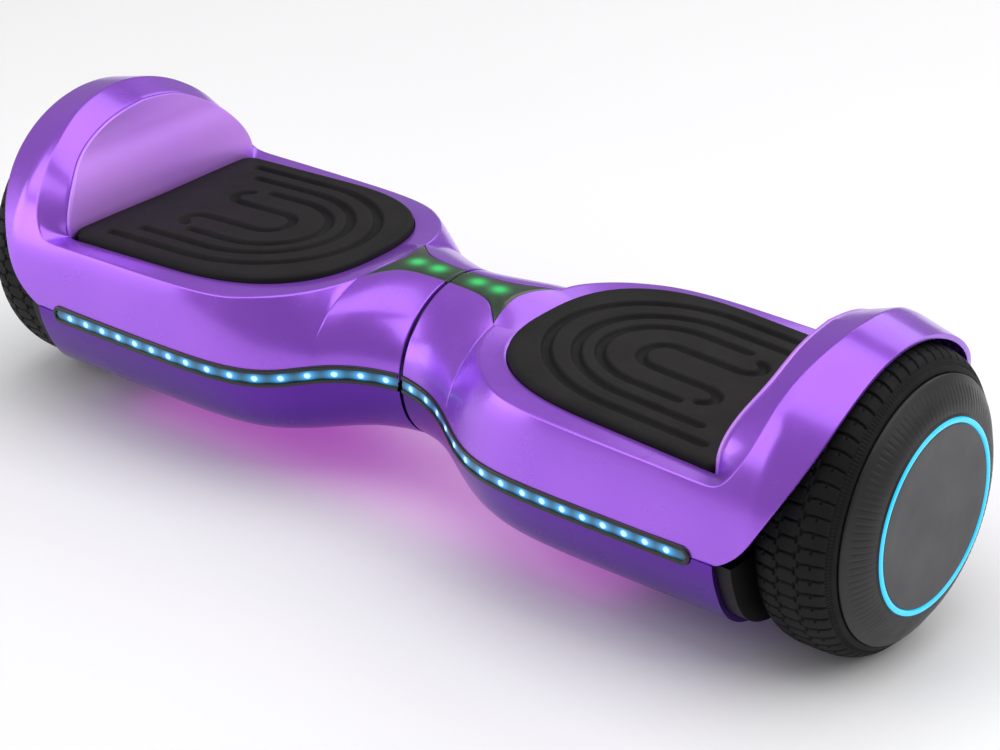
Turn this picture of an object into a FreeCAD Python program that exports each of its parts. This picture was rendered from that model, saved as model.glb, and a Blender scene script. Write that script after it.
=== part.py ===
import FreeCAD, Part
import math
import os

from FreeCAD import Placement, Rotation, Vector

# Self balancing hoverboard, millimetres.  +X points to the right wheel, -Y is the front
# (the side with the light strip), +Z is up.  The origin is on the floor, under the middle
# of the gap between the two halves.  Every piece is drawn for the right half; the left half
# is its mirror image in the plane x = 0.

# Wheel
tyre_radius = 82.5
tyre_inner_x = 250.0
tyre_outer_x = 295.0
tread_blocks = 60
tread_rise = 0.2
rim_radius = 62.0
axle_radius = 8.0
axle_start_x = 196.0
axle_end_x = 291.5
axle_flat_height = 6.0
rotor_start_x = 251.0
rotor_plate = 4.0
motor_cover_x = 288.0
motor_cover_end_x = 292.0
magnet_inner_radius = 53.0
magnet_outer_radius = 56.0
magnet_count = 30
stator_radius = 52.3
stator_start_x = 261.0
stator_end_x = 283.0
stator_slots = 27
slot_width = 5.0
slot_floor_radius = 36.0
bearing_radius = 16.0
bearing_width = 7.0
boss_radius = 20.0
fit_gap = 0.05
hub_cap_radius = 71.4
hub_cap_base_x = 297.1
hub_cap_face_x = 307.1
ring_radius = 50.3
ring_half_width = 1.3
wheel_z = tyre_radius

# Body
gap_half = 1.3
shell_wall = 3.0
trim_gap = 0.15
pivot_z = 79.0
waist_radius = 46.7
deck_half_width = 94.6
deck_bottom_z = 21.0
crease_y = 90.0
crease_drop = 1.0
flare_middle_x = 50.0
flare_rate = 18.0
deck_end_x = 241.0
shell_end_x = 238.0
end_wall = 2.5
parting_deck_z = 71.6
parting_rise = 7.4
parting_middle_x = 55.0
parting_rate = 9.0
loft_degree = 3

# Fender, revolved about the wheel axis
fender_inner_x = 241.7
fender_inner_radius = 88.5
fender_crease_x = 259.2
fender_crease_radius = 94.3
fender_outer_x = 284.1
fender_outer_radius = 88.4
fender_wall = 2.6
well_radius = 86.0

# Footpad, drawn in the sloping deck frame
deck_slope = 0.05
deck_top_z = 125.0
pad_half_width = 75.0
pad_inner_x = 61.0
pad_straight_x = 150.0
pad_outer_x = 235.0
pad_corner = 9.0
pad_power = 2.2
pad_bottom = -2.5
pad_top = 3.5
pocket_gap = 0.6
pocket_floor = -5.0
tub_floor = -7.5
tub_wall = 2.5
plunger_radius = 4.0
plunger_x = 140.0
plunger_y = 26.0
plunger_end = -17.0

# Light strip
strip_half = 5.3
channel_half = 2.9
strip_end_x = 225.4
strip_proud = 1.0
strip_lens_back = 1.5
led_first_x = 211.5
led_pitch = 13.07
led_count = 16
led_radius = 1.4

# Centre pivot
tube_radius = 14.0
tube_bore = 11.5
tube_half_length = 52.0
collar_start_x = 8.0
collar_end_x = 46.0
collar_radius = 22.0
bush_radius = 16.0
bush_length = 12.0
pin_x = 27.0
pin_radius = 3.0
pin_reach = 21.0
twist_limit = 12.0
clip_x = 47.0
clip_width = 1.6
clip_groove_radius = 12.9
clip_radius = 17.0

# Frame and fasteners
plate_bottom_z = 66.0
plate_top_z = 69.5
plate_half_width = 50.0
frame_wall = 4.0
frame_wall_top_z = 94.0
frame_wall_start_x = 66.0
frame_wall_end_x = 190.0
frame_start_x = 42.0
frame_end_x = 236.0
saddle_start_x = 198.0
saddle_half_width = 25.0
clamp_top_z = 97.0
lug_radius = 6.0
lug_points = [(84.0, 38.0), (184.0, 38.0)]
upper_post_radius = 4.5
lower_post_radius = 5.5
board_post_radius = 3.5
lug_counterbore_z = 84.0
boss_points = [(105.0, 62.0), (205.0, 62.0)]
screw_radius = 2.0
screw_head_radius = 3.8
clamp_bolt_radius = 3.0
clamp_bolt_points = [(206.0, 17.0), (228.0, 17.0)]

# Rear of the right half
port_x = 160.0
button_x = 118.0
flank_point_y = 88.7
flank_point_z = 51.7
flank_lean = 22.2
port_recess_radius = 13.0
port_recess_floor = -4.5
port_bore_radius = 5.5
port_face = -3.0
port_bore_length = 8.0
port_chamber_radius = 6.2
port_chamber_end = -17.0
port_pin_tip = -12.0
port_pin_radius = 0.9
port_pin_circle = 2.8
socket_radius = 8.0
socket_end = -20.0
cap_plug_radius = 12.4
cap_radius = 14.6
cap_bottom = 0.5
cap_top = 1.7
cap_hinge_offset = 15.5
cap_hinge_radius = 1.1
strap_half_width = 4.5
button_radius = 9.0
button_bottom = -3.2
button_top = 1.6
switch_plate = -6.0

# Electronics
battery_start_x = 86.0
battery_end_x = 216.0
battery_half_width = 45.0
battery_bottom_z = 27.0
battery_top_z = 63.5
battery_round = 8.0
board_thickness = 1.6
board_posts = [(90.0, 34.0), (194.0, 34.0)]
board_z = 40.0
heat_sink_start_x = 95.0
heat_sink_end_x = 189.0
heat_sink_bottom_z = 28.0
heat_sink_fin_depth = 5.0
heat_sink_slots = 7


def box(x0, x1, y0, y1, z0, z1):
    return Part.makeBox(x1 - x0, y1 - y0, z1 - z0, Vector(x0, y0, z0))


def bar(x0, x1, half_width, z0, z1):
    return box(x0, x1, -half_width, half_width, z0, z1)


def cylinder_x(radius, x0, x1, z):
    return Part.makeCylinder(radius, x1 - x0, Vector(x0, 0, z), Vector(1, 0, 0))


def cylinder_z(radius, x, y, z0, z1):
    return Part.makeCylinder(radius, z1 - z0, Vector(x, y, z0), Vector(0, 0, 1))


def both_sides(points):
    return [(x, side * y) for x, y in points for side in (-1, 1)]


def fused(first, others):
    return first.fuse(others).removeSplitter()


def turned(profile, axis_z, sweep=360.0):
    """Solid of revolution about the X axis line at height axis_z; profile is (x, radius)."""
    corners = [Vector(x, 0, axis_z + radius) for x, radius in profile]
    face = Part.Face(Part.makePolygon(corners + corners[:1]))
    return face.revolve(Vector(0, 0, axis_z), Vector(1, 0, 0), sweep)


def ring_x(inner, outer, x0, x1, z):
    return cylinder_x(outer, x0, x1, z).cut(cylinder_x(inner, x0 - 1, x1 + 1, z))


def spread(shape, count, axis_z):
    copies = []
    for index in range(count):
        copy = shape.copy()
        copy.rotate(Vector(0, 0, axis_z), Vector(1, 0, 0), 360.0 * index / count)
        copies.append(copy)
    return copies


def flare(x):
    """How far the round waist has grown into the wide deck, 0 to 1."""
    return 1.0 / (1.0 + math.exp((flare_middle_x - x) / flare_rate))


def seat_z(x):
    return deck_top_z - deck_slope * x


def parting_z(x):
    return parting_deck_z + parting_rise / (1.0 + math.exp((x - parting_middle_x) / parting_rate))


def smooth_edge(points, spacing=None):
    """Spline through the points, its parameters spaced as the points of spacing are."""
    guide = spacing or points
    lengths = [0.0]
    for before, after in zip(guide, guide[1:]):
        lengths.append(lengths[-1] + (after - before).Length)
    curve = Part.BSplineCurve()
    curve.interpolate(Points=points, Parameters=[length / lengths[-1] for length in lengths])
    return curve.toShape()


def outline(x):
    """Half outline of the body at station x: the flank from bottom to crease, then the top."""
    deck_flank = [(0.0, 21.0), (30.0, 21.4), (52.0, 23.0), (66.0, 26.8), (76.5, 33.3),
                  (84.0, 42.5), (89.5, 54.0), (93.2, 65.0), (94.6, 75.0), (94.5, 86.0),
                  (93.4, 96.0), (92.2, 104.0), (crease_y, seat_z(x) - crease_drop)]
    deck_flank = [(y * deck_half_width / 94.6, z) for y, z in deck_flank]
    top_steps = 4
    deck_top = [(crease_y * (1 - i / top_steps), seat_z(x) - crease_drop * (1 - i / top_steps))
                for i in range(1, top_steps + 1)]
    flank_steps = len(deck_flank) - 1
    reach = [0.0]
    for before, after in zip(deck_flank, deck_flank[1:]):
        reach.append(reach[-1] + math.dist(before, after))
    angles = [-90 + 135 * length / reach[-1] for length in reach]
    angles += [45 + 45 * i / top_steps for i in range(1, top_steps + 1)]
    grown = flare(x)
    points = []
    for (y, z), angle in zip(deck_flank + deck_top, angles):
        round_y = waist_radius * math.cos(math.radians(angle))
        round_z = pivot_z + waist_radius * math.sin(math.radians(angle))
        points.append((round_y + (y - round_y) * grown, round_z + (z - round_z) * grown))
    return points, flank_steps


def section_points(x, inset):
    """Points of the body's outline at station x, moved inwards: the top ones, then the rest."""
    half, crease_index = outline(x)
    loop = [Vector(x, y, z) for y, z in half]
    loop += [Vector(x, -y, z) for y, z in reversed(half[1:-1])]
    count = len(loop)
    moved = []
    for index, point in enumerate(loop):
        before = (point - loop[index - 1]).normalize()
        after = (loop[(index + 1) % count] - point).normalize()
        along = (before + after).normalize()
        inward = Vector(0, -along.z, along.y)
        moved.append(point + inward * (inset / along.dot(after)))
    mirror_crease = count - crease_index
    top = moved[crease_index:mirror_crease + 1]
    lower = moved[mirror_crease:] + moved[:crease_index + 1]
    return top, lower


def section(x, inset):
    """Closed outline of the body at station x, moved inwards by inset."""
    top, lower = section_points(x, inset)
    top_guide, lower_guide = section_points(pad_outer_x, 0.0)
    return Part.Wire([smooth_edge(top, top_guide), smooth_edge(lower, lower_guide)])


def envelope(inset):
    stations = [gap_half, 14, 27, 40, 53, 66, 80, 95, 112, 135, 165, 200, 262]
    return Part.makeLoft([section(x, inset) for x in stations], True, False, False, loft_degree)


def upper_space():
    """Everything above the parting surface between the top and the bottom shell."""
    stations = [-10, 15, 30, 42, 52, 62, 74, 90, 120, 200, 320]
    line = smooth_edge([Vector(x, -150, parting_z(x)) for x in stations])
    first = Vector(stations[0], -150, parting_z(stations[0]))
    last = Vector(stations[-1], -150, parting_z(stations[-1]))
    rest = Part.makePolygon([last, Vector(last.x, -150, 260), Vector(first.x, -150, 260), first])
    return Part.Face(Part.Wire([line] + rest.Edges)).extrude(Vector(0, 300, 0))


def front_band(half, end_x):
    """Strip of space along the parting line of the front, with a round outer end."""
    stations = [gap_half, 18, 32, 44, 54, 64, 76, 92, 125, 170, end_x - half]
    upper = [Vector(x, -140, parting_z(x) + half) for x in stations]
    lower = [Vector(x, -140, parting_z(x) - half) for x in reversed(stations)]
    tip = Vector(end_x, -140, parting_z(end_x))
    edges = [smooth_edge(upper), Part.Arc(upper[-1], tip, lower[0]).toShape()]
    edges += [smooth_edge(lower), Part.LineSegment(lower[-1], upper[0]).toShape()]
    return Part.Face(Part.Wire(edges)).extrude(Vector(0, 138, 0))


def deck_frame():
    """Frame of the sloping deck: local z is square to the deck."""
    return Placement(Vector(0, 0, deck_top_z), Rotation(Vector(0, 1, 0), math.degrees(math.atan(deck_slope))))


def pad_prism(grow, bottom, top):
    """Footpad outline, grown all round, between two heights over the deck."""
    length = pad_straight_x - pad_inner_x + grow
    width = pad_half_width + grow
    steps = 8
    nose = []
    for index in range(-steps, steps + 1):
        turn = math.radians(90.0 * index / steps)
        reach = abs(math.cos(turn)) ** (2 / pad_power) * length
        offset = math.copysign(abs(math.sin(turn)) ** (2 / pad_power) * width, turn)
        nose.append(Vector(pad_straight_x - reach, offset, bottom))
    end_x = pad_outer_x + grow
    corner = pad_corner + grow
    middle = corner * (1 - math.sqrt(0.5))
    high = [Vector(end_x - corner, width, bottom), Vector(end_x - middle, width - middle, bottom)]
    high.append(Vector(end_x, width - corner, bottom))
    low = [Vector(point.x, -point.y, bottom) for point in reversed(high)]
    edges = [smooth_edge(nose), Part.LineSegment(nose[-1], high[0]).toShape()]
    edges += [Part.Arc(*high).toShape(), Part.LineSegment(high[-1], low[0]).toShape()]
    edges += [Part.Arc(*low).toShape(), Part.LineSegment(low[-1], nose[0]).toShape()]
    shape = Part.Face(Part.Wire(edges)).extrude(Vector(0, 0, top - bottom))
    shape.Placement = deck_frame()
    return shape


def deck_rod(radius, x, y, bottom, top):
    rod = Part.makeCylinder(radius, top - bottom, Vector(x, y, bottom))
    rod.Placement = deck_frame()
    return rod


def lens_prism(grow):
    """Space over the waist that the battery light's lens fills: it widens to two points."""
    side = [(gap_half, 9.3), (13, 9.8), (24, 11.2), (33, 14.5), (40, 20.5), (47.5, 28.5)]
    edge = [Vector(x + (grow if x > 40 else 0), y + grow, 60) for x, y in side]
    back = [Vector(x, -y, 60) for x, y, z in edge]
    inner = [edge[-1], Vector(43 + grow, 14, 60), Vector(41.5 + grow, 0, 60)]
    inner += [Vector(43 + grow, -14, 60), back[-1]]
    edges = [smooth_edge(edge), smooth_edge(inner), smooth_edge(list(reversed(back)))]
    edges.append(Part.LineSegment(back[0], edge[0]).toShape())
    return Part.Face(Part.Wire(edges)).extrude(Vector(0, 0, 90))


def fender():
    """Arched band over the wheel, with its crease and its recessed inner wall."""
    outer = [(deck_end_x, fender_inner_radius - 0.3), (fender_inner_x, fender_inner_radius)]
    outer += [(fender_crease_x, fender_crease_radius), (fender_outer_x, fender_outer_radius)]
    inner = [(fender_outer_x, fender_outer_radius - fender_wall + 0.4)]
    inner += [(fender_crease_x, fender_crease_radius - fender_wall)]
    inner += [(deck_end_x + end_wall, well_radius), (deck_end_x, well_radius)]
    band = turned(outer + inner, wheel_z)
    wall = cylinder_x(well_radius + 1, deck_end_x, deck_end_x + end_wall, wheel_z)
    return band.fuse(wall)


def wheel_well():
    profile = [(deck_end_x + end_wall, 0), (deck_end_x + end_wall, well_radius)]
    profile += [(fender_crease_x, fender_crease_radius - fender_wall)]
    profile += [(fender_outer_x, fender_outer_radius - fender_wall + 0.4), (320, well_radius), (320, 0)]
    return turned(profile, wheel_z)


def fender_sweep():
    """Space beyond the fender's outer edge, which sweeps in to the parting line."""
    curve = [(deck_end_x - 1.0, 70.8), (248, 78.5), (259, 87), (271, 98), (280, 112), (284.3, 130)]
    points = [Vector(x, -150, z) for x, z in curve]
    rest = [points[-1], Vector(330, -150, 130), Vector(330, -150, 20), Vector(240, -150, 20)]
    polygon = Part.makePolygon(rest + [points[0]])
    return Part.Face(Part.Wire([smooth_edge(points)] + polygon.Edges)).extrude(Vector(0, 300, 0))


def strip_leds():
    positions = [led_first_x - led_pitch * index for index in range(led_count)]
    return [Part.makeCylinder(led_radius, 138, Vector(x, -140, parting_z(x)), Vector(0, 1, 0))
            for x in positions]


def screw(x, y, z, length):
    """Pan head screw pointing up from z."""
    head = cylinder_z(screw_head_radius, x, y, z - 2.6, z)
    return head.fuse(cylinder_z(screw_radius, x, y, z, z + length)).removeSplitter()


def flank_frame(x):
    """Frame on the sloping rear flank: local z points out of the body."""
    return Placement(Vector(x, flank_point_y, flank_point_z), Rotation(Vector(1, 0, 0), -90 - flank_lean))


def flank_rod(radius, x, bottom, top, offset_x=0.0, offset_y=0.0):
    rod = Part.makeCylinder(radius, top - bottom, Vector(offset_x, offset_y, bottom))
    rod.Placement = flank_frame(x)
    return rod


def make_shells(right):
    """Top and bottom shell, light strip bezel, its lens and LEDs, and the indicator lens."""
    body = envelope(0.0)
    hollow = envelope(shell_wall)
    proud = envelope(-strip_proud)
    shallow = envelope(strip_lens_back)
    upper = upper_space()
    inside = hollow.common(box(gap_half + shell_wall, deck_end_x, -150, 150, 0, 200))
    skin = body.common(box(0, deck_end_x, -150, 150, 0, 200)).cut(inside)

    cheek = body.common(cylinder_x(fender_crease_radius, deck_end_x, fender_crease_x, wheel_z))
    cheek = cheek.cut(wheel_well())
    tub = pad_prism(pocket_gap + tub_wall, tub_floor, 6).common(body)
    tub = tub.common(box(0, deck_end_x + 1, -150, 150, 0, 200))
    top = skin.fuse([cheek, fender(), tub]).common(upper)
    top = top.cut(fender_sweep())
    top = top.cut(pad_prism(pocket_gap, pocket_floor, 40).common(box(0, deck_end_x, -90, 90, 90, 200)))
    posts = [cylinder_z(upper_post_radius, x, y, parting_z(x), seat_z(x) - 6)
             for x, y in both_sides(boss_points)]
    posts += [cylinder_z(upper_post_radius, x, y, frame_wall_top_z, seat_z(x) - 6)
              for x, y in both_sides(lug_points)]
    top = top.fuse(posts)
    holes = [cylinder_z(screw_radius + fit_gap, x, y, 60, 100)
             for x, y in both_sides(boss_points)]
    holes += [cylinder_z(screw_radius + fit_gap, x, y, 60, 104)
              for x, y in both_sides(lug_points)]
    holes += [deck_rod(plunger_radius + 1, plunger_x, side * plunger_y, -20, 0) for side in (-1, 1)]
    holes.append(cylinder_x(tube_radius + 3, 0, 12, pivot_z))
    holes.append(cylinder_x(axle_radius + 3, deck_end_x - 10, deck_end_x + 10, wheel_z))
    band_hole = front_band(strip_half + trim_gap, strip_end_x + trim_gap)
    holes += [lens_prism(trim_gap), band_hole]
    top = top.cut(holes).removeSplitter()

    bottom = skin.cut(upper).common(box(0, shell_end_x, -150, 150, 0, 200))
    posts = [cylinder_z(lower_post_radius, x, y, deck_bottom_z + 2, parting_z(x))
             for x, y in both_sides(boss_points)]
    if right:
        posts += [cylinder_z(board_post_radius, x, y, deck_bottom_z + 1.5, board_z)
                  for x, y in both_sides(board_posts)]
    else:
        posts += [bar(x, x + 3, 38, deck_bottom_z + 2, battery_bottom_z) for x in (96, 198)]
    bottom = bottom.fuse([post.common(body) for post in posts])
    holes = [cylinder_z(screw_radius + fit_gap, x, y, 0, 90) for x, y in both_sides(boss_points)]
    holes += [cylinder_z(screw_head_radius + 0.3, x, y, 0, 34) for x, y in both_sides(boss_points)]
    holes.append(cylinder_x(tube_radius + 3, 0, 12, pivot_z))
    holes.append(band_hole)
    if right:
        cup = flank_rod(port_recess_radius + 2, port_x, port_recess_floor - 2.5, 3).common(body)
        collar = flank_rod(button_radius + 2.7, button_x, switch_plate, 0).common(body)
        bottom = bottom.fuse([cup, collar])
        holes.append(flank_rod(port_recess_radius, port_x, port_recess_floor, 20))
        holes.append(flank_rod(socket_radius + fit_gap, port_x, -30, 0))
        holes.append(flank_rod(button_radius + 0.3, button_x, -30, 20))
    bottom = bottom.cut(holes).removeSplitter()

    frame_band = front_band(strip_half, strip_end_x)
    channel = front_band(channel_half, strip_end_x - strip_half + channel_half)
    lens_band = front_band(channel_half - 0.05, strip_end_x - strip_half + channel_half - 0.05)
    bezel = proud.cut(hollow).common(frame_band).cut(channel)
    glass = body.cut(shallow).common(lens_band)
    lamps = [lamp.common(glass) for lamp in strip_leds()]
    glass = glass.cut(strip_leds())
    indicator = body.cut(hollow).common(lens_prism(0))
    return {"top_shell": top, "bottom_shell": bottom, "led_bezel": bezel, "led_lens": glass,
            "leds": Part.Compound(lamps), "indicator_lens": indicator}


def make_liner():
    """Black inner cover that closes the lower end of the body beside the tyre."""
    start_x = 226.0
    end_x = 247.0
    outer = Part.Face(section(start_x, shell_wall + 0.2)).extrude(Vector(end_x - start_x, 0, 0))
    inner = Part.Face(section(start_x, shell_wall + 2.4)).extrude(Vector(end_x - start_x - 2.4, 0, 0))
    shape = outer.cut(inner).cut(upper_space())
    shape = shape.common(bar(start_x, end_x, 150, 0, parting_deck_z - 0.2))
    return shape.cut(cylinder_x(axle_radius + 3, start_x - 1, end_x + 1, wheel_z)).removeSplitter()


def make_frame(right):
    """Cast frame: plate with side walls, board ribs, axle saddle and pivot collar."""
    plate = bar(frame_start_x, frame_end_x, plate_half_width, plate_bottom_z, plate_top_z)
    inner = plate_half_width - frame_wall
    walls = bar(frame_wall_start_x, frame_wall_end_x, plate_half_width, plate_bottom_z, frame_wall_top_z)
    walls = walls.cut(bar(frame_wall_start_x, frame_wall_end_x, inner, plate_bottom_z, frame_wall_top_z))
    ribs = [bar(x, x + 4, inner, plate_top_z, frame_wall_top_z) for x in (108, 164)]
    saddle = bar(saddle_start_x, frame_end_x, saddle_half_width, plate_bottom_z, wheel_z - 0.6)
    collar = cylinder_x(collar_radius, collar_start_x, collar_end_x, pivot_z)
    web = bar(collar_end_x - 10, 70, 20, plate_bottom_z, pivot_z)
    lugs = [cylinder_z(lug_radius, x, y, plate_bottom_z, frame_wall_top_z) for x, y in both_sides(lug_points)]
    shape = plate.fuse(ribs + [walls, saddle, collar, web] + lugs)
    cuts = [cylinder_x(axle_radius + fit_gap, axle_start_x, frame_end_x + 1, wheel_z)]
    cuts += [cylinder_z(lug_radius - 1.6, x, y, 60, lug_counterbore_z) for x, y in both_sides(lug_points)]
    cuts += [cylinder_z(screw_radius + fit_gap, x, y, 60, 100) for x, y in both_sides(lug_points)]
    cuts += [cylinder_z(clamp_bolt_radius + fit_gap, x, y, 70, 90) for x, y in both_sides(clamp_bolt_points)]
    cuts.append(cylinder_x(17.5, collar_end_x, 75, pivot_z))
    if right:
        slot_turn = twist_limit + 12.4
        slot = turned([(pin_x - 3.4, 10), (pin_x - 3.4, 30), (pin_x + 3.4, 30), (pin_x + 3.4, 10)],
                      pivot_z, 2 * slot_turn)
        slot.rotate(Vector(0, 0, pivot_z), Vector(1, 0, 0), -slot_turn)
        cuts += [cylinder_x(bush_radius + fit_gap, 0, collar_end_x + 1, pivot_z), slot]
    else:
        cuts.append(cylinder_x(tube_radius + fit_gap, 0, collar_end_x + 1, pivot_z))
    return shape.cut(cuts).removeSplitter()


def make_clamp():
    block = bar(saddle_start_x + 2, frame_end_x, saddle_half_width, wheel_z + 0.6, clamp_top_z)
    cuts = [cylinder_x(axle_radius + fit_gap, saddle_start_x, frame_end_x + 1, wheel_z).common(
        bar(saddle_start_x, frame_end_x + 1, 20, 60, wheel_z + axle_flat_height + fit_gap))]
    cuts += [cylinder_z(clamp_bolt_radius + fit_gap, x, y, 70, 100) for x, y in both_sides(clamp_bolt_points)]
    return block.cut(cuts)


def clamp_bolts():
    bolts = []
    for x, y in both_sides(clamp_bolt_points):
        head = cylinder_z(5.0, x, y, clamp_top_z, clamp_top_z + 4.0)
        socket = cylinder_z(2.4, x, y, clamp_top_z + 1.5, clamp_top_z + 5.0)
        shank = cylinder_z(clamp_bolt_radius, x, y, 71, clamp_top_z)
        bolts.append(fused(head.cut(socket), [shank]))
    return Part.Compound(bolts)


def make_axle():
    shaft = cylinder_x(axle_radius, axle_start_x, axle_end_x, wheel_z)
    flat = bar(axle_start_x - 1, frame_end_x, 20, wheel_z + axle_flat_height, wheel_z + 20)
    return shaft.cut([flat, cylinder_x(3.2, axle_start_x - 1, stator_start_x - 4, wheel_z)])


def make_stator():
    core = ring_x(axle_radius + fit_gap, stator_radius, stator_start_x, stator_end_x, wheel_z)
    slot = bar(stator_start_x - 1, stator_end_x + 1, slot_width / 2, wheel_z + slot_floor_radius,
               wheel_z + stator_radius + 1)
    return core.cut(spread(slot, stator_slots, wheel_z))


def make_windings():
    coil = bar(stator_start_x - 3.5, stator_end_x + 3, slot_width / 2 - 0.2,
               wheel_z + slot_floor_radius + 1, wheel_z + stator_radius - 2.5)
    return Part.Compound(spread(coil, stator_slots, wheel_z))


def make_magnets():
    profile = [(stator_start_x, magnet_inner_radius), (stator_end_x, magnet_inner_radius),
               (stator_end_x, magnet_outer_radius - fit_gap),
               (stator_start_x, magnet_outer_radius - fit_gap)]
    magnet = turned(profile, wheel_z, 0.94 * 360.0 / magnet_count)
    return Part.Compound(spread(magnet, magnet_count, wheel_z))


def make_rotor():
    profile = [(rotor_start_x, bearing_radius), (rotor_start_x, rim_radius), (motor_cover_x, rim_radius)]
    profile += [(motor_cover_x, magnet_outer_radius), (rotor_start_x + rotor_plate, magnet_outer_radius)]
    profile += [(rotor_start_x + rotor_plate, boss_radius), (rotor_start_x + bearing_width, boss_radius)]
    profile += [(rotor_start_x + bearing_width, bearing_radius)]
    return turned(profile, wheel_z)


def make_motor_cover():
    start = motor_cover_end_x - bearing_width
    profile = [(start, bearing_radius), (start, boss_radius), (motor_cover_x, boss_radius)]
    profile += [(motor_cover_x, rim_radius), (motor_cover_end_x, rim_radius)]
    profile += [(motor_cover_end_x, bearing_radius)]
    return turned(profile, wheel_z)


def make_bearings():
    rings = []
    for start in (rotor_start_x, motor_cover_end_x - bearing_width):
        rings.append(ring_x(axle_radius + fit_gap, bearing_radius - fit_gap, start, start + bearing_width,
                            wheel_z))
    return Part.Compound(rings)


def make_tyre():
    """Solid rubber tyre: a crown of flat-topped blocks, rounded shoulders, short side walls."""
    bore = rim_radius + fit_gap
    crown = tyre_radius + tread_rise
    profile = [(tyre_inner_x + 1, bore), (tyre_inner_x, 68), (tyre_inner_x + 0.5, 74)]
    profile += [(tyre_inner_x + 3, 79), (tyre_inner_x + 8, 81.8), (tyre_inner_x + 14, crown)]
    profile += [(tyre_outer_x - 14, crown), (tyre_outer_x - 7, 81.6), (tyre_outer_x - 1.5, 78.5)]
    profile += [(tyre_outer_x + 0.8, 74.5), (tyre_outer_x - 0.5, 71), (motor_cover_end_x, 69)]
    profile += [(motor_cover_end_x, bore)]
    half_block = math.pi / tread_blocks
    corner_radius = tyre_radius / math.cos(half_block)
    corners = []
    for index in range(tread_blocks):
        turn = (2 * index + 1) * half_block
        corners.append(Vector(tyre_inner_x - 1, corner_radius * math.sin(turn),
                              wheel_z - corner_radius * math.cos(turn)))
    flats = Part.Face(Part.makePolygon(corners + corners[:1]))
    return turned(profile, wheel_z).common(flats.extrude(Vector(tyre_outer_x - tyre_inner_x + 4, 0, 0)))


def make_hub_cap():
    """Plastic wheel cover: a shallow cone up to the light ring, then a flat face."""
    lip_x = hub_cap_base_x - 1.8
    ring_inner = ring_radius - ring_half_width
    ring_outer = ring_radius + ring_half_width
    profile = [(lip_x, hub_cap_radius), (hub_cap_base_x, hub_cap_radius)]
    profile += [(hub_cap_face_x - 0.4, ring_outer), (hub_cap_face_x - 2, ring_outer)]
    profile += [(hub_cap_face_x - 2, ring_inner), (hub_cap_face_x, ring_inner), (hub_cap_face_x, 0)]
    profile += [(hub_cap_face_x - 2.6, 0), (hub_cap_face_x - 2.6, 42), (hub_cap_face_x - 4.6, 45)]
    profile += [(hub_cap_face_x - 4.6, ring_outer + 1.5), (lip_x, hub_cap_radius - 4)]
    shell = turned(profile, wheel_z)
    post = cylinder_x(3.5, motor_cover_end_x, hub_cap_face_x - 2.6, wheel_z + 30)
    return fused(shell, spread(post, 4, wheel_z))


def make_ring_light():
    return ring_x(ring_radius - ring_half_width + 0.05, ring_radius + ring_half_width - 0.05,
                  hub_cap_face_x - 2, hub_cap_face_x + 0.4, wheel_z)


def make_plungers():
    rods = []
    for side in (-1, 1):
        foot = deck_rod(plunger_radius + 3, plunger_x, side * plunger_y, pad_bottom - 0.2, pad_bottom)
        rods.append(foot.fuse(deck_rod(plunger_radius, plunger_x, side * plunger_y, plunger_end,
                                       pad_bottom - 0.2)).removeSplitter())
    return Part.Compound(rods)


def make_sensor_board():
    """Circuit board on the frame ribs with the two foot switches and the tilt sensor."""
    top = frame_wall_top_z + board_thickness
    board = bar(104, 172, 36, frame_wall_top_z, top)
    switches = [box(plunger_x - 5, plunger_x + 5, side * plunger_y - 5, side * plunger_y + 5, top, top + 3)
                for side in (-1, 1)]
    chips = [box(114, 124, -6, 6, top, top + 1.4), box(150, 160, -8, 8, top, top + 3)]
    return fused(board, switches + chips)


def make_screws():
    """Two shell screws and two frame screws along each side."""
    shell = [screw(x, y, 34.0, 60) for x, y in both_sides(boss_points)]
    frame = [screw(x, y, lug_counterbore_z, 18) for x, y in both_sides(lug_points)]
    return Part.Compound(shell + frame)


def make_main_board():
    """Motor control board with its drive transistors, capacitors and connectors."""
    top = board_z + board_thickness
    board = bar(84, 200, 40, board_z, top)
    parts = [box(96, 180, -36, -26, top, top + 14), box(186, 196, -20, 20, top, top + 9)]
    parts += [cylinder_z(6, x, 26, top, top + 18) for x in (110, 126, 142)]
    parts += [box(100, 130, -10, 10, top, top + 2), box(88, 94, -12, 12, top, top + 8)]
    return fused(board, parts)


def make_heat_sink():
    """Aluminium block under the control board, slotted from below."""
    block = box(heat_sink_start_x, heat_sink_end_x, -38, 33, heat_sink_bottom_z, board_z - fit_gap)
    pitch = (heat_sink_end_x - heat_sink_start_x) / (heat_sink_slots + 1)
    slots = [bar(heat_sink_start_x + pitch * i - 2, heat_sink_start_x + pitch * i + 2, 60,
                 heat_sink_bottom_z - 1, heat_sink_bottom_z + heat_sink_fin_depth)
             for i in range(1, heat_sink_slots + 1)]
    return block.cut(slots)


def make_battery():
    pack = bar(battery_start_x, battery_end_x, battery_half_width, battery_bottom_z, battery_top_z)
    straight = [edge for edge in pack.Edges if abs(edge.tangentAt(0).x) > 0.9]
    return pack.makeFillet(battery_round, straight)


def make_tube():
    tube = ring_x(tube_bore, tube_radius, -tube_half_length, tube_half_length, pivot_z)
    grooves = [ring_x(clip_groove_radius, 20, x, x + clip_width, pivot_z)
               for x in (clip_x, -clip_x - clip_width)]
    return tube.cut(grooves + [cylinder_z(pin_radius + fit_gap, pin_x, 0, pivot_z, 110)])


def make_clips():
    rings = []
    for x in (clip_x, -clip_x - clip_width):
        ring = ring_x(clip_groove_radius + fit_gap, clip_radius, x + 0.05, x + clip_width - 0.05, pivot_z)
        rings.append(ring.cut(box(x - 1, x + 3, -3, 3, pivot_z - 30, pivot_z)))
    return Part.Compound(rings)


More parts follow.
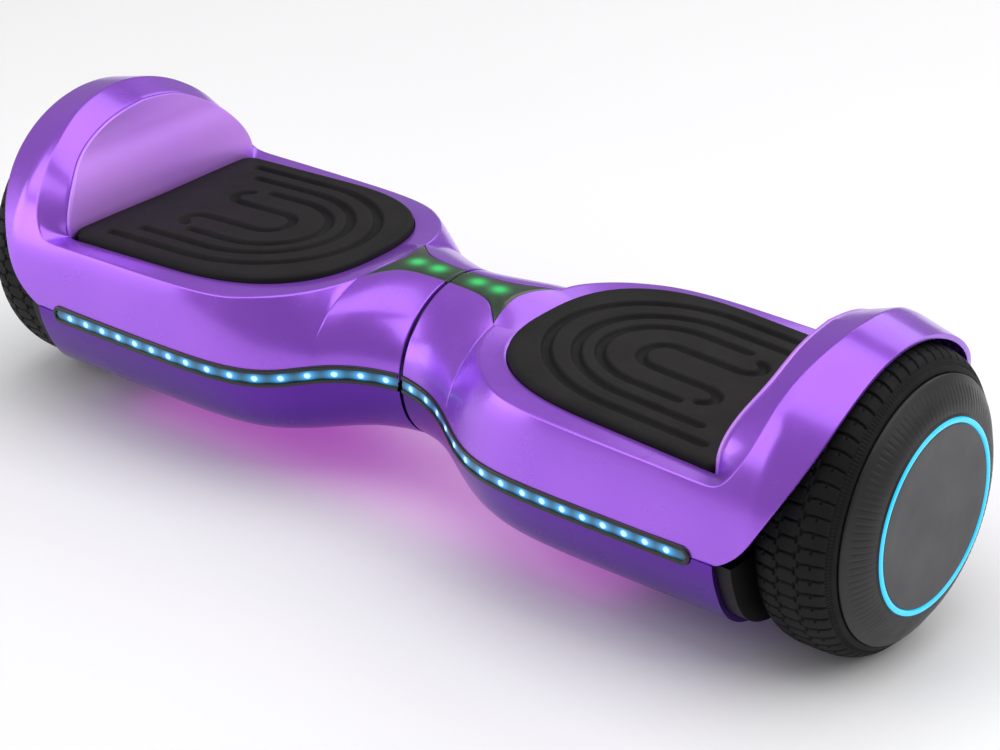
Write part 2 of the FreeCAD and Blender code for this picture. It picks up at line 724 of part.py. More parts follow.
def make_bushes():
    sleeves = []
    for x in (collar_start_x, collar_end_x - bush_length):
        sleeves.append(ring_x(tube_radius + 2 * fit_gap, bush_radius, x, x + bush_length, pivot_z))
    return Part.Compound(sleeves)


def make_socket():
    """Round charging socket: a smooth bore, then a wider chamber with three pins."""
    bore_end = port_face - port_bore_length
    body = flank_rod(socket_radius, port_x, socket_end, port_recess_floor)
    flange = flank_rod(socket_radius + 2.5, port_x, port_recess_floor, port_face)
    bore = flank_rod(port_bore_radius, port_x, bore_end - 0.5, 0)
    chamber = flank_rod(port_chamber_radius, port_x, port_chamber_end, bore_end)
    pins = []
    for turn in (90, 210, 330):
        x = port_pin_circle * math.cos(math.radians(turn))
        y = port_pin_circle * math.sin(math.radians(turn))
        pins.append(flank_rod(port_pin_radius, port_x, port_chamber_end, port_pin_tip, x, y))
    return body.fuse(flange).cut([bore, chamber]).fuse(pins).removeSplitter()


def make_port_cap():
    """Rubber cap: plug, flange, and a strap with a round bead that it turns on."""
    plug = flank_rod(cap_plug_radius, port_x, cap_bottom - 2.9, cap_bottom)
    flange = flank_rod(cap_radius, port_x, cap_bottom, cap_top)
    strap = Part.makeBox(2 * strap_half_width, cap_hinge_offset - 12, cap_top - cap_bottom,
                         Vector(-strap_half_width, 12, cap_bottom))
    bead_z = (cap_bottom + cap_top) / 2
    bead = Part.makeCylinder(cap_hinge_radius, 2 * strap_half_width,
                             Vector(-strap_half_width, cap_hinge_offset, bead_z), Vector(1, 0, 0))
    hinge = strap.fuse(bead)
    hinge.Placement = flank_frame(port_x)
    return plug.fuse([flange, hinge]).removeSplitter()


def make_button():
    button = flank_rod(button_radius, button_x, button_bottom, button_top)
    rim = [edge for edge in button.Edges if edge.Vertexes[0].Point.y > flank_point_y + 1
           and edge.Curve.TypeId == "Part::GeomCircle"]
    return button.makeFillet(0.8, rim[:1])


def make_switch():
    board = flank_rod(button_radius + 2.7, button_x, switch_plate - board_thickness, switch_plate)
    return fused(board, [flank_rod(3.2, button_x, switch_plate, button_bottom - 1.4)])


def save(name, shape):
    shape.exportStep("parts/" + name + ".step")
    print(name, len(shape.Solids), round(shape.Volume), shape.isValid())


def save_pair(name, shape, left_shape=None):
    save("right_" + name, shape)
    twin = left_shape if left_shape is not None else shape
    save("left_" + name, twin.mirror(Vector(0, 0, 0), Vector(1, 0, 0)))


os.makedirs("parts", exist_ok=True)
right_shells = make_shells(True)
left_shells = make_shells(False)
for shell_name, shell_shape in right_shells.items():
    save_pair(shell_name, shell_shape, left_shells[shell_name])
save_pair("wheel_liner", make_liner())
save_pair("frame", make_frame(True), make_frame(False))
save_pair("axle_clamp", make_clamp())
save_pair("clamp_bolts", clamp_bolts())
save_pair("axle", make_axle())
save_pair("stator", make_stator())
save_pair("windings", make_windings())
save_pair("magnets", make_magnets())
save_pair("rotor", make_rotor())
save_pair("motor_cover", make_motor_cover())
save_pair("wheel_bearings", make_bearings())
save_pair("tyre", make_tyre())
save_pair("hub_cap", make_hub_cap())
save_pair("ring_light", make_ring_light())
save_pair("footpad", pad_prism(0, pad_bottom, pad_top))
save_pair("pad_plungers", make_plungers())
save_pair("sensor_board", make_sensor_board())
save_pair("screws", make_screws())
save("main_board", make_main_board())
save("heat_sink", make_heat_sink())
save("battery_pack", make_battery().mirror(Vector(0, 0, 0), Vector(1, 0, 0)))
save("pivot_tube", make_tube())
save("pivot_circlips", make_clips())
save("pivot_bushes", make_bushes())
save("stop_pin", cylinder_z(pin_radius, pin_x, 0, pivot_z + 9, pivot_z + pin_reach))
save("centre_cable", cylinder_x(4.0, -70, 60, pivot_z))
save("charge_socket", make_socket())
save("charge_port_cap", make_port_cap())
save("power_button", make_button())
save("power_switch", make_switch())
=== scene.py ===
import math

import bpy
import numpy as np
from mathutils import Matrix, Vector


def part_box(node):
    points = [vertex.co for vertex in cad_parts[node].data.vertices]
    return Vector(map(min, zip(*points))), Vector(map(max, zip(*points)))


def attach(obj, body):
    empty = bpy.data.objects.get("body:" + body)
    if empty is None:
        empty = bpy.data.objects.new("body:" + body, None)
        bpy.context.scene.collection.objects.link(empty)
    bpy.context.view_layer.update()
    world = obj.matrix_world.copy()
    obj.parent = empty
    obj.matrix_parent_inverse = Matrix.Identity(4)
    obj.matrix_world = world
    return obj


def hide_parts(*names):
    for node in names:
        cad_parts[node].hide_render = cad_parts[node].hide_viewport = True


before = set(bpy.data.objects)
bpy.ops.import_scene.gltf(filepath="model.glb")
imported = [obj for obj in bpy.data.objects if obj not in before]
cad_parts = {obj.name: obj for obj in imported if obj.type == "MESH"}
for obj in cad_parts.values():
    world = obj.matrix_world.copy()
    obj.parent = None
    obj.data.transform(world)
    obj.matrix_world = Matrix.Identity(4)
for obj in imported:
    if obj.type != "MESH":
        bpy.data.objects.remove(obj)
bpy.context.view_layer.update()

# Sizes in millimetres, in the frame's own axes: +X to the right wheel, -Y to the front, +Z up.
# Every shape is worked out for the right half; the left half is its mirror image.
MM = 0.001


def node_span(node, axis):
    low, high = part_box(node)
    return low[axis] / MM, high[axis] / MM


wheel_z = sum(node_span("right_tyre", 2)) / 2
tyre_radius = node_span("right_tyre", 2)[1] - wheel_z
gap_half = node_span("right_top_shell", 0)[0]
strip_end_x = node_span("right_led_bezel", 0)[1]
hub_face_x = node_span("right_hub_cap", 0)[1]
hub_cap_radius = node_span("right_hub_cap", 1)[1]
tyre_inner_x = node_span("right_tyre", 0)[0]

waist_radius = 46.7
waist_height = 47.3
deck_half_width = 94.6
flare_middle_x, flare_rate = 50.0, 18.0
parting_deck_z, parting_rise = 71.6, 7.4
parting_middle_x, parting_rate = 55.0, 9.0
lens_nose_x, lens_tip_x = 41.5, 48.0
deck_top_z, deck_slope = 123.4, 0.05
blend_start_x, blend_end_x = 190.0, 240.0
fender_crease_x, fender_crease_radius = 259.2, 94.3
fender_outer_x, fender_outer_radius = 284.1, 88.4
rim_radius = 88.5
parting_angle = -6.55

pad_straight_x, pad_inner_x, pad_outer_x = 150.0, 61.0, 227.9
pad_half_width, pad_power, pad_corner = 75.0, 2.6, 9.0
pad_rise = 3.0
seat_gap, seat_drop = 0.7, 1.2
lamp_radius = 1.85


# ---------------------------------------------------------------- curves

class Curve:
    """Natural cubic spline through points, over the parameters given or their chord length."""

    def __init__(self, points, params=None):
        self.points = np.array(points, dtype=float).reshape(len(points), -1)
        if params is None:
            steps = np.linalg.norm(np.diff(self.points, axis=0), axis=1)
            params = np.concatenate([[0.0], np.cumsum(steps)])
            params = params / params[-1]
        self.params = np.array(params, dtype=float)
        gaps = np.diff(self.params)
        count = len(self.params)
        matrix = np.eye(count)
        right = np.zeros_like(self.points)
        for i in range(1, count - 1):
            matrix[i, i - 1:i + 2] = gaps[i - 1], 2 * (gaps[i - 1] + gaps[i]), gaps[i]
            ahead = (self.points[i + 1] - self.points[i]) / gaps[i]
            behind = (self.points[i] - self.points[i - 1]) / gaps[i - 1]
            right[i] = 6 * (ahead - behind)
        self.bends = np.linalg.solve(matrix, right)

    def __call__(self, query):
        query = np.atleast_1d(np.asarray(query, dtype=float))
        index = np.clip(np.searchsorted(self.params, query) - 1, 0, len(self.params) - 2)
        gap = (self.params[index + 1] - self.params[index])[:, None]
        before = (query - self.params[index])[:, None]
        after = gap - before
        p0, p1 = self.points[index], self.points[index + 1]
        b0, b1 = self.bends[index], self.bends[index + 1]
        value = (b0 * after ** 3 + b1 * before ** 3) / (6 * gap)
        value += (p0 / gap - b0 * gap / 6) * after + (p1 / gap - b1 * gap / 6) * before
        return value


def step(value, low, high):
    share = np.clip((np.asarray(value, dtype=float) - low) / (high - low), 0, 1)
    return share * share * (3 - 2 * share)


def logistic(x, middle, rate):
    return 1 / (1 + np.exp((middle - np.asarray(x, dtype=float)) / rate))


# ---------------------------------------------------------------- the body's surface

def half_width(x):
    return waist_radius + (deck_half_width - waist_radius) * logistic(x, flare_middle_x, flare_rate)


def parting_z(x):
    return parting_deck_z + parting_rise * (1 - logistic(x, parting_middle_x, parting_rate))


def seat_z(x):
    return deck_top_z - seat_drop - deck_slope * np.asarray(x, dtype=float)


crease_plan = Curve([(lens_tip_x, 28.5, 121.0), (49.5, 36, 120.8), (52.5, 44, 120.3), (56.5, 51.5, 119.6),
                     (62, 59, 118.8), (69, 66.5, 117.9), (77, 73, 117.0), (86, 78.8, 116.1),
                     (97, 83.4, 115.2), (112, 86.6, 114.5), (135, 88.4, 113.9), (160, 89.0, 113.4),
                     (blend_start_x, 89.2, 112.9)])
lens_side = Curve([9.3, 9.8, 11.2, 14.5, 20.5, 28.5], [gap_half, 13, 24, 33, 40, lens_tip_x])


def crease_height():
    """Height of the flank's superellipse at each station, so that it passes through the crease."""
    x, y, z = crease_plan(np.linspace(0, 1, 200)).T
    power = 2.2
    share = 1 - (y / half_width(x)) ** power
    height = (z - parting_z(x)) / share ** (1 / power)
    return x, height


crease_stations, crease_heights = crease_height()


def flank_power(x):
    return 2.0 + 0.2 * step(x, 0, 40)


def flank_height(x):
    x = np.asarray(x, dtype=float)
    tip = crease_heights[0]
    waist = waist_height + (tip - waist_height) * (np.clip(x, 0, lens_tip_x) / lens_tip_x) ** 1.5
    return np.where(x < lens_tip_x, waist, np.interp(x, crease_stations, crease_heights))


def flank_y(x, z):
    """Half width of the body at height z over the parting line."""
    share = np.clip((z - parting_z(x)) / flank_height(x), 0, 1)
    return half_width(x) * (1 - share ** flank_power(x)) ** (1 / flank_power(x))


def flank_z(x, y):
    share = np.clip(np.abs(y) / half_width(x), 0, 1)
    return parting_z(x) + flank_height(x) * (1 - share ** flank_power(x)) ** (1 / flank_power(x))


def fender_radius(x):
    taper = (fender_crease_radius - fender_outer_radius) / (fender_outer_x - fender_crease_x)
    over = np.maximum(np.asarray(x, dtype=float) - fender_crease_x + 3, 0)
    soft = np.where(over < 6, over ** 2 / 12, over - 3)
    return fender_crease_radius - taper * soft


def wheel_point(x, radius, angle):
    turn = np.radians(angle)
    return np.stack([x, radius * np.cos(turn), wheel_z + radius * np.sin(turn)], axis=-1)


def outer_point(x, angle):
    """A point of the flank or the fender, at an angle about the wheel axis."""
    point = wheel_point(x, fender_radius(x), angle)
    share = step(x, blend_start_x, blend_end_x)
    flank = flank_y(np.minimum(x, blend_end_x), point[..., 2])
    low = point[..., 2] < wheel_z + 34
    point[..., 1] = np.where(low, flank + (point[..., 1] - flank) * share, point[..., 1])
    return point


def pad_polar(turn, grow):
    """Point of the pad's rounded end, at an angle about the middle of its straight start."""
    length = pad_straight_x - pad_inner_x + grow
    width = pad_half_width + grow
    reach = (np.abs(np.cos(turn)) / length) ** pad_power + (np.abs(np.sin(turn)) / width) ** pad_power
    reach = reach ** (-1 / pad_power)
    return pad_straight_x - reach * np.cos(turn), reach * np.sin(turn)


# ---------------------------------------------------------------- meshes

def grid_faces(rows, columns, closed=False):
    """Quads of a grid; closed joins the last row to the first."""
    last = rows if closed else rows - 1
    i, j = np.meshgrid(np.arange(last), np.arange(columns - 1), indexing="ij")
    following = (i + 1) % rows
    quads = np.stack([i * columns + j, following * columns + j, following * columns + j + 1,
                      i * columns + j + 1], axis=-1)
    return quads.reshape(-1, 4)


class Shape:
    """Grids gathered into one mesh, in millimetres."""

    def __init__(self):
        self.points, self.faces, self.glow, self.count = [], [], [], 0

    def add(self, grid, flip=False, closed=False, glow=None):
        rows, columns = grid.shape[:2]
        faces = grid_faces(rows, columns, closed) + self.count
        self.faces.append(faces[:, ::-1] if flip else faces)
        self.points.append(grid.reshape(-1, 3))
        self.glow.append(np.zeros(rows * columns) if glow is None else np.asarray(glow).reshape(-1))
        self.count += rows * columns
        return self

    def add_both(self, grid, flip=False, **more):
        """The grid and its mirror image in the plane y = 0."""
        self.add(grid, flip, **more)
        return self.add(grid * np.array([1, -1, 1]), not flip, **more)

    def build(self, name, side, body, material, slot, replaced=(), weld=0.02):
        points = np.concatenate(self.points) * np.array([side, 1, 1]) * MM
        faces = np.concatenate(self.faces)
        if side < 0:
            faces = faces[:, ::-1]
        mesh = bpy.data.meshes.new(name)
        mesh.from_pydata(points.tolist(), [], faces.tolist())
        glow = mesh.attributes.new("glow", "FLOAT", "POINT")
        glow.data.foreach_set("value", np.concatenate(self.glow))
        mesh.validate()
        piece = bpy.data.objects.new(name, mesh)
        bpy.context.scene.collection.objects.link(piece)
        if weld:
            modifier = piece.modifiers.new("weld", "WELD")
            modifier.merge_threshold = weld * MM
        mesh.polygons.foreach_set("use_smooth", [True] * len(mesh.polygons))
        mesh.materials.append(material)
        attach(piece, body)
        if replaced:
            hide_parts(*replaced)
        return piece


def solid(piece, thickness, bevel=0.4):
    """Gives a surface its wall thickness, against its normals, and rounds the wall's edges."""
    wall = piece.modifiers.new("wall", "SOLIDIFY")
    wall.thickness = thickness * MM
    wall.offset = -1
    if bevel:
        edge = piece.modifiers.new("edge", "BEVEL")
        edge.width = bevel * MM
        edge.segments = 2
        edge.limit_method = "ANGLE"
        edge.angle_limit = math.radians(50)
    return piece


def side_name(side, name):
    return ("right_" if side > 0 else "left_") + name


def half_body(side):
    return side_name(side, "half")


# ---------------------------------------------------------------- materials

def new_material(name, colour, roughness, metallic=0.0):
    material = bpy.data.materials.new(name)
    material.use_nodes = True
    shader = material.node_tree.nodes["Principled BSDF"]
    shader.inputs["Base Color"].default_value = (*colour, 1)
    shader.inputs["Roughness"].default_value = roughness
    shader.inputs["Metallic"].default_value = metallic
    return material, material.node_tree, shader


def noise(tree, scale, detail=3.0, roughness=0.5):
    """Noise in the object's own metres."""
    coordinates = tree.nodes.new("ShaderNodeTexCoord")
    texture = tree.nodes.new("ShaderNodeTexNoise")
    texture.inputs["Scale"].default_value = scale
    texture.inputs["Detail"].default_value = detail
    texture.inputs["Roughness"].default_value = roughness
    tree.links.new(coordinates.outputs["Object"], texture.inputs["Vector"])
    return texture.outputs["Fac"]


def mapped(tree, value, low, high, from_low=0.3, from_high=0.7):
    node = tree.nodes.new("ShaderNodeMapRange")
    node.inputs["From Min"].default_value = from_low
    node.inputs["From Max"].default_value = from_high
    node.inputs["To Min"].default_value = low
    node.inputs["To Max"].default_value = high
    tree.links.new(value, node.inputs["Value"])
    return node.outputs["Result"]


def colour_mix(tree, factor, first, second):
    node = tree.nodes.new("ShaderNodeMix")
    node.data_type = "RGBA"
    node.inputs[6].default_value = (*first, 1)
    node.inputs[7].default_value = (*second, 1)
    tree.links.new(factor, node.inputs[0])
    return node.outputs[2]


def bump(tree, shader, height, strength, distance):
    node = tree.nodes.new("ShaderNodeBump")
    node.inputs["Strength"].default_value = strength
    node.inputs["Distance"].default_value = distance
    tree.links.new(height, node.inputs["Height"])
    tree.links.new(node.outputs["Normal"], shader.inputs["Normal"])


def plated_purple(name, dark, light, metallic=0.6, coat=0.4, roughness=0.25):
    """Plated gloss: tinted metal under a clear coat, with faint orange peel and handling marks."""
    material, tree, shader = new_material(name, light, roughness, metallic)
    tree.links.new(colour_mix(tree, mapped(tree, noise(tree, 9, 2), 0, 1), dark, light),
                   shader.inputs["Base Color"])
    tree.links.new(mapped(tree, noise(tree, 60, 5, 0.6), roughness - 0.04, roughness + 0.04),
                   shader.inputs["Roughness"])
    shader.inputs["Coat Weight"].default_value = coat
    shader.inputs["Coat Roughness"].default_value = 0.09
    bump(tree, shader, noise(tree, 420, 2), 0.01, 0.0004)
    return material


def moulded(name, dark, light, roughness, grain=900, depth=0.12, spread=0.08, gloss=0.5):
    """Moulded plastic or rubber: fine grain, uneven sheen, slight colour drift."""
    material, tree, shader = new_material(name, light, roughness)
    shader.inputs["Specular IOR Level"].default_value = gloss
    tree.links.new(colour_mix(tree, mapped(tree, noise(tree, 22, 4), 0, 1), dark, light),
                   shader.inputs["Base Color"])
    tree.links.new(mapped(tree, noise(tree, 35, 6, 0.65), roughness - spread, roughness + spread),
                   shader.inputs["Roughness"])
    bump(tree, shader, noise(tree, grain, 6, 0.6), depth, 0.0005)
    return material


def rubber_with_painted_shade(name, dark, light):
    """Soft rubber: painted shade darkens it where the mesh's glow value is low (grooves, rolled border,
    side wall), with random tone drift across the lands.
    """
    material = moulded(name, dark, light, 0.72, 1500, 0.25, 0.08, 0.28)
    tree = material.node_tree
    shader = tree.nodes["Principled BSDF"]
    attribute = tree.nodes.new("ShaderNodeAttribute")
    attribute.attribute_name = "glow"
    # Painted shade: the mesh's glow value times a random tone drift picks between the dark and the light
    # rubber.
    painted_shade = tree.nodes.new("ShaderNodeMath")
    painted_shade.operation = "MULTIPLY"
    tree.links.new(attribute.outputs["Fac"], painted_shade.inputs[0])
    tree.links.new(mapped(tree, noise(tree, 30, 5, 0.6), 0.75, 1.0), painted_shade.inputs[1])
    tree.links.new(colour_mix(tree, painted_shade.outputs[0], dark, light), shader.inputs["Base Color"])
    return material


def metal(name, dark, light, roughness, grain=250, depth=0.06):
    material = moulded(name, dark, light, roughness, grain, depth, 0.07)
    material.node_tree.nodes["Principled BSDF"].inputs["Metallic"].default_value = 1.0
    return material


def lit(name, colour, glow_colour, strength, rim_colour=None):
    """Lit plastic: its glow follows the mesh's glow value, which is highest over each lamp."""
    material, tree, shader = new_material(name, colour, 0.25)
    attribute = tree.nodes.new("ShaderNodeAttribute")
    attribute.attribute_name = "glow"
    value = attribute.outputs["Fac"]
    tree.links.new(colour_mix(tree, value, rim_colour or colour, glow_colour),
                   shader.inputs["Emission Color"])
    tree.links.new(mapped(tree, value, strength * 0.12, strength, 0, 1), shader.inputs["Emission Strength"])
    tree.links.new(mapped(tree, noise(tree, 300, 4), 0.18, 0.3), shader.inputs["Roughness"])
    shader.inputs["Coat Weight"].default_value = 0.5
    return material


PURPLE = plated_purple("plated_purple", (0.34, 0.095, 0.78), (0.41, 0.125, 0.86))
# The lower shells' plating is darker and bluer than the upper: partly a deeper violet of its own, partly
# painted shade standing in for the shadowed floor that the underside reflects.
DEEP_PURPLE_AND_PAINTED_SHADE = plated_purple("plated_deep_purple_and_painted_shade", (0.11, 0.025, 0.33), (0.14, 0.032, 0.39), 0.9, 0.08)
# Painted light: a paler, less metallic copy of the purple plating for the fender walls, so that they look
# brightly lit.
PAINTED_LIGHT_PURPLE = plated_purple("plated_purple_painted_light", (0.60, 0.25, 1.0), (0.68, 0.31, 1.0), 0.3, 0.05, 0.38)
BLACK_TRIM = moulded("black_trim", (0.006, 0.006, 0.007), (0.014, 0.014, 0.016), 0.22, 700, 0.03, 0.05)
LINER = moulded("liner_plastic", (0.002, 0.0015, 0.002), (0.005, 0.004, 0.005), 0.55, 1100, 0.25, gloss=0.3)
# The pad rubber's dark colour is painted shade in the grooves, on the rolled border and on the side wall.
PAD_RUBBER = rubber_with_painted_shade("pad_rubber", (0.0012, 0.0010, 0.0010), (0.0085, 0.0068, 0.0070))
TYRE_RUBBER = moulded("tyre_rubber", (0.003, 0.003, 0.003), (0.007, 0.0065, 0.007), 0.64, 900, 0.3,
                      gloss=0.2)
HUB_PLASTIC = moulded("hub_plastic", (0.010, 0.0095, 0.010), (0.016, 0.015, 0.016), 0.42, 1400, 0.12,
                      gloss=0.4)
HUB_DISC = moulded("hub_disc", (0.056, 0.053, 0.056), (0.068, 0.065, 0.068), 0.45, 1600, 0.08, gloss=0.4)
ALUMINIUM = metal("cast_aluminium", (0.45, 0.46, 0.47), (0.66, 0.67, 0.68), 0.38)
STEEL = metal("plated_steel", (0.42, 0.42, 0.41), (0.60, 0.60, 0.58), 0.25)
COPPER = metal("copper_wire", (0.55, 0.22, 0.09), (0.75, 0.36, 0.16), 0.3)
BOARD = moulded("circuit_board", (0.01, 0.13, 0.05), (0.02, 0.22, 0.09), 0.35)
WRAP = moulded("battery_wrap", (0.02, 0.07, 0.25), (0.04, 0.12, 0.4), 0.3)
NYLON = moulded("bush_nylon", (0.62, 0.60, 0.54), (0.75, 0.73, 0.67), 0.4)
STRIP_LIGHT = lit("strip_light", (0.005, 0.03, 0.06), (0.05, 0.42, 0.95), 1.0, (0.0, 0.24, 0.45))
LAMP = lit("strip_lamp", (0.3, 0.6, 0.9), (0.50, 0.85, 1.0), 1.25, (0.08, 0.48, 1.0))
RING_LIGHT = lit("ring_light", (0.0, 0.2, 0.35), (0.0, 0.55, 1.0), 1.0, (0.0, 0.5, 0.9))
LENS_LIGHT = lit("indicator_light", (0.010, 0.016, 0.010), (0.02, 0.70, 0.16), 0.95, (0.03, 0.12, 0.05))

NODE_FINISH = {
    "frame": ALUMINIUM, "axle_clamp": ALUMINIUM, "clamp_bolts": STEEL, "axle": STEEL, "stator": STEEL,
    "windings": COPPER, "magnets": STEEL, "rotor": ALUMINIUM, "motor_cover": ALUMINIUM,
    "wheel_bearings": STEEL, "pad_plungers": PAD_RUBBER, "sensor_board": BOARD, "screws": STEEL,
    "main_board": BOARD, "heat_sink": ALUMINIUM, "battery_pack": WRAP, "pivot_tube": STEEL,
    "pivot_circlips": STEEL, "pivot_bushes": NYLON, "stop_pin": STEEL, "centre_cable": TYRE_RUBBER,
    "charge_socket": LINER, "charge_port_cap": TYRE_RUBBER, "power_button": BLACK_TRIM,
    "power_switch": BOARD, "wheel_liner": LINER, "led_bezel": BLACK_TRIM, "led_lens": STRIP_LIGHT,
    "leds": LAMP, "indicator_lens": LENS_LIGHT, "top_shell": PURPLE, "bottom_shell": DEEP_PURPLE_AND_PAINTED_SHADE,
    "tyre": TYRE_RUBBER, "hub_cap": HUB_PLASTIC, "ring_light": RING_LIGHT, "footpad": PAD_RUBBER,
}


def finish_nodes():
    for name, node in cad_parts.items():
        kind = name.split("_", 1)[1] if name.startswith(("left_", "right_")) else name
        for index in range(len(node.data.materials)):
            node.data.materials[index] = NODE_FINISH[kind]


# ---------------------------------------------------------------- shells

def flank_rib(x, limit, count):
    """Points at station x from the parting line up to half width limit."""
    power = flank_power(x)
    end = np.arccos(np.clip((limit / half_width(x)) ** (power / 2), 0, 1))
    turn = end * np.linspace(0, 1, count)
    y = half_width(x) * np.cos(turn) ** (2 / power)
    z = parting_z(x) + flank_height(x) * np.sin(turn) ** (2 / power)
    return np.stack([np.full(count, x), y, z], axis=-1)


fender_crease = Curve([(190, 18.84), (213, 18.5), (229, 18.4), (236.5, 19.6), (241.5, 23), (246, 28.5),
                       (249.5, 35.5), (251.3, 44), (253.5, 56), (258.5, 72), (261, 90)], range(11))
fender_edge = Curve([(190, parting_angle), (212, parting_angle), (226, parting_angle),
                     (234, parting_angle), (240.5, -5.9), (249, -2.2), (258.5, 5), (271, 20.5),
                     (280.5, 39), (284.5, 62), (285, 90)], range(11))


def rim_line(share):
    """Inner edge of the deck band, then of the fender: the last points are on the rim circle."""
    corner = pad_half_width + seat_gap
    points = [(x, corner, seat_z(x)) for x in (blend_start_x, 206, 217)]
    points += [(224, corner + 0.2, seat_z(224) + 0.2), (228.2, corner + 1.4, 113.8)]
    for x, radius, angle in [(229, 86.2, 27), (230.6, 88.0, 34), (234.6, rim_radius, 43),
                             (239.8, rim_radius, 55), (241, rim_radius, 72), (241, rim_radius, 90)]:
        points.append(tuple(wheel_point(x, radius, angle)))
    return Curve(points, range(11))(share)


def rounded_rib(low, crease, high, radius=1.6, steps=4):
    """Joins two runs of points at the crease with a small round: low ends there, high starts there."""
    before = low[-2] - crease
    after = high[1] - crease
    first = crease + before / np.linalg.norm(before) * min(radius, 0.8 * np.linalg.norm(before))
    last = crease + after / np.linalg.norm(after) * min(radius, 0.8 * np.linalg.norm(after))
    share = np.linspace(0, 1, steps + 1)[:, None]
    arc = first * (1 - share) ** 2 + crease * 2 * share * (1 - share) + last * share ** 2
    return np.concatenate([low[:-1], arc, high[1:]])


def top_shell(side):
    """The outside of a top shell: flank, deck band, fender and the flange inside its rim."""
    shape = Shape()
    rows = 34
    waist = [flank_rib(x, lens_side(x)[0, 0] + 0.15, rows) for x in np.linspace(gap_half, lens_tip_x, 46)]
    shape.add_both(np.array(waist), flip=True)

    band_rows, deck_ribs = 9, 190
    ribs = []
    for x, y, _ in crease_plan(np.linspace(0, 1, deck_ribs)):
        low = flank_rib(x, y, rows)
        turn = math.atan2(y, pad_straight_x - x)
        inner_x, inner_y = x, pad_half_width + seat_gap
        if x < pad_straight_x:
            inner_x, inner_y = pad_polar(turn, seat_gap)
        inner = np.array([inner_x, inner_y, seat_z(inner_x)])
        share = np.linspace(0, 1, band_rows)[:, None]
        ribs.append(rounded_rib(low, low[-1], low[-1] * (1 - share) + inner * share))
    stations = np.linspace(0, 10, 150)[1:]
    creases, edges, rims = fender_crease(stations), fender_edge(stations), rim_line(stations)
    for crease, edge, rim in zip(creases, edges, rims):
        across = np.linspace(0, 1, rows)
        x = edge[0] + (crease[0] - edge[0]) * across
        angle = edge[1] + (crease[1] - edge[1]) * across
        low = outer_point(x, angle)
        share = np.linspace(0, 1, band_rows)[:, None]
        ribs.append(rounded_rib(low, low[-1], low[-1] * (1 - share) + rim * share))
    ribs = np.array(ribs)
    drop = np.array([0, 0, -1.0])
    turned = step(np.arange(len(ribs)), deck_ribs + 52, deck_ribs + 74)[:, None]
    inward = np.array([0, 0, wheel_z]) - ribs[:, -1] * np.array([0, 1, 1])
    inward = inward / np.linalg.norm(inward, axis=1)[:, None]
    lip_rows = [ribs[:, -1] + (drop * (1 - turned) + inward * turned) * depth
                for depth in (0.0, 0.8, 1.6, 3.0)]
    shape.add_both(ribs, flip=True)
    shape.add_both(np.stack(lip_rows, axis=1), flip=True)

    turns = np.linspace(0, 1, 40)
    fade = (turns ** 6)[:, None, None]
    edge_x = lens_nose_x + (lens_tip_x - lens_nose_x) * turns ** 1.6
    edge_y = 28.5 * turns
    edge_z = flank_z(edge_x, edge_y)
    turn = np.arctan2(edge_y, pad_straight_x - edge_x)
    pocket_x, pocket_y = pad_polar(turn, seat_gap)
    start = np.stack([edge_x + 0.15, edge_y, edge_z], axis=-1)
    finish = np.stack([pocket_x, pocket_y, seat_z(pocket_x)], axis=-1)
    joint = ribs[0][rows - 1:]
    run = np.linalg.norm(joint - joint[0], axis=1)
    share = (run / run[-1])[None, :, None]
    inner_band = start[:, None] * (1 - share) + finish[:, None] * share
    inner_band = inner_band + (joint - inner_band[-1])[None] * fade
    shape.add_both(inner_band, flip=True)
    lip_rows = [inner_band[:, -1] + drop * depth for depth in (0.0, 0.8, 1.6, 3.0)]
    shape.add_both(np.stack(lip_rows, axis=1), flip=True)

    piece = shape.build(side_name(side, "upper_cover"), side, half_body(side), PURPLE, "purple_chrome",
                        [side_name(side, "top_shell")])
    solid(piece, 2.8, 0.9)


def fender_wall(side):
    """The recessed half disc that closes the fender; its thickness laps over the footpad's end."""
    centre = np.array([0, 0, wheel_z])
    shrink = 1 - 0.4 / rim_radius
    rim = centre + (rim_line(np.linspace(4.8, 10, 60)) - centre) * np.array([1, shrink, shrink])
    foot = rim[:1].copy()
    foot[0, 2] = seat_z(foot[0, 0]) - 3
    rim = np.concatenate([foot, rim])
    across = np.linspace(0, 1, 40)[None]
    y = rim[:, 1:2] * across
    z = rim[:, 2:3] * np.ones_like(across)
    x = (rim[:, :1] - 0.1) * np.ones_like(across)
    shape = Shape().add_both(np.stack([x, y, z], axis=-1), flip=True)
    # The wall's pale plating is painted light: a lit copy of the purple plating.
    piece = shape.build(side_name(side, "fender_wall"), side, half_body(side), PAINTED_LIGHT_PURPLE, "purple_chrome")
    return solid(piece, 2.4, 0)


# ---------------------------------------------------------------- light strip and indicator

def strip_frame(x):
    """Point and plan normal of the front flank at the parting line, for each station."""
    width = half_width(x)
    slope = half_width(x + 0.5) - half_width(x - 0.5)
    length = np.hypot(slope, 1)
    point = np.stack([x, -width, parting_z(x)], axis=-1)
    normal = np.stack([-slope / length, -1 / length, np.zeros_like(x)], axis=-1)
    return point, normal


def strip_stations(end, end_round, count=300):
    """Stations spaced evenly along the strip, then closer over its round end."""
    x = np.linspace(gap_half + 0.3, end, 900)
    point, _ = strip_frame(x)
    run = np.concatenate([[0], np.cumsum(np.linalg.norm(np.diff(point, axis=0), axis=1))])
    turn = np.linspace(0, np.pi / 2, 15)[1:]
    straight = np.linspace(0, run[-1] - end_round, count)
    place = np.concatenate([straight, run[-1] - end_round * (1 - np.sin(turn))])
    return np.interp(place, run, x), place


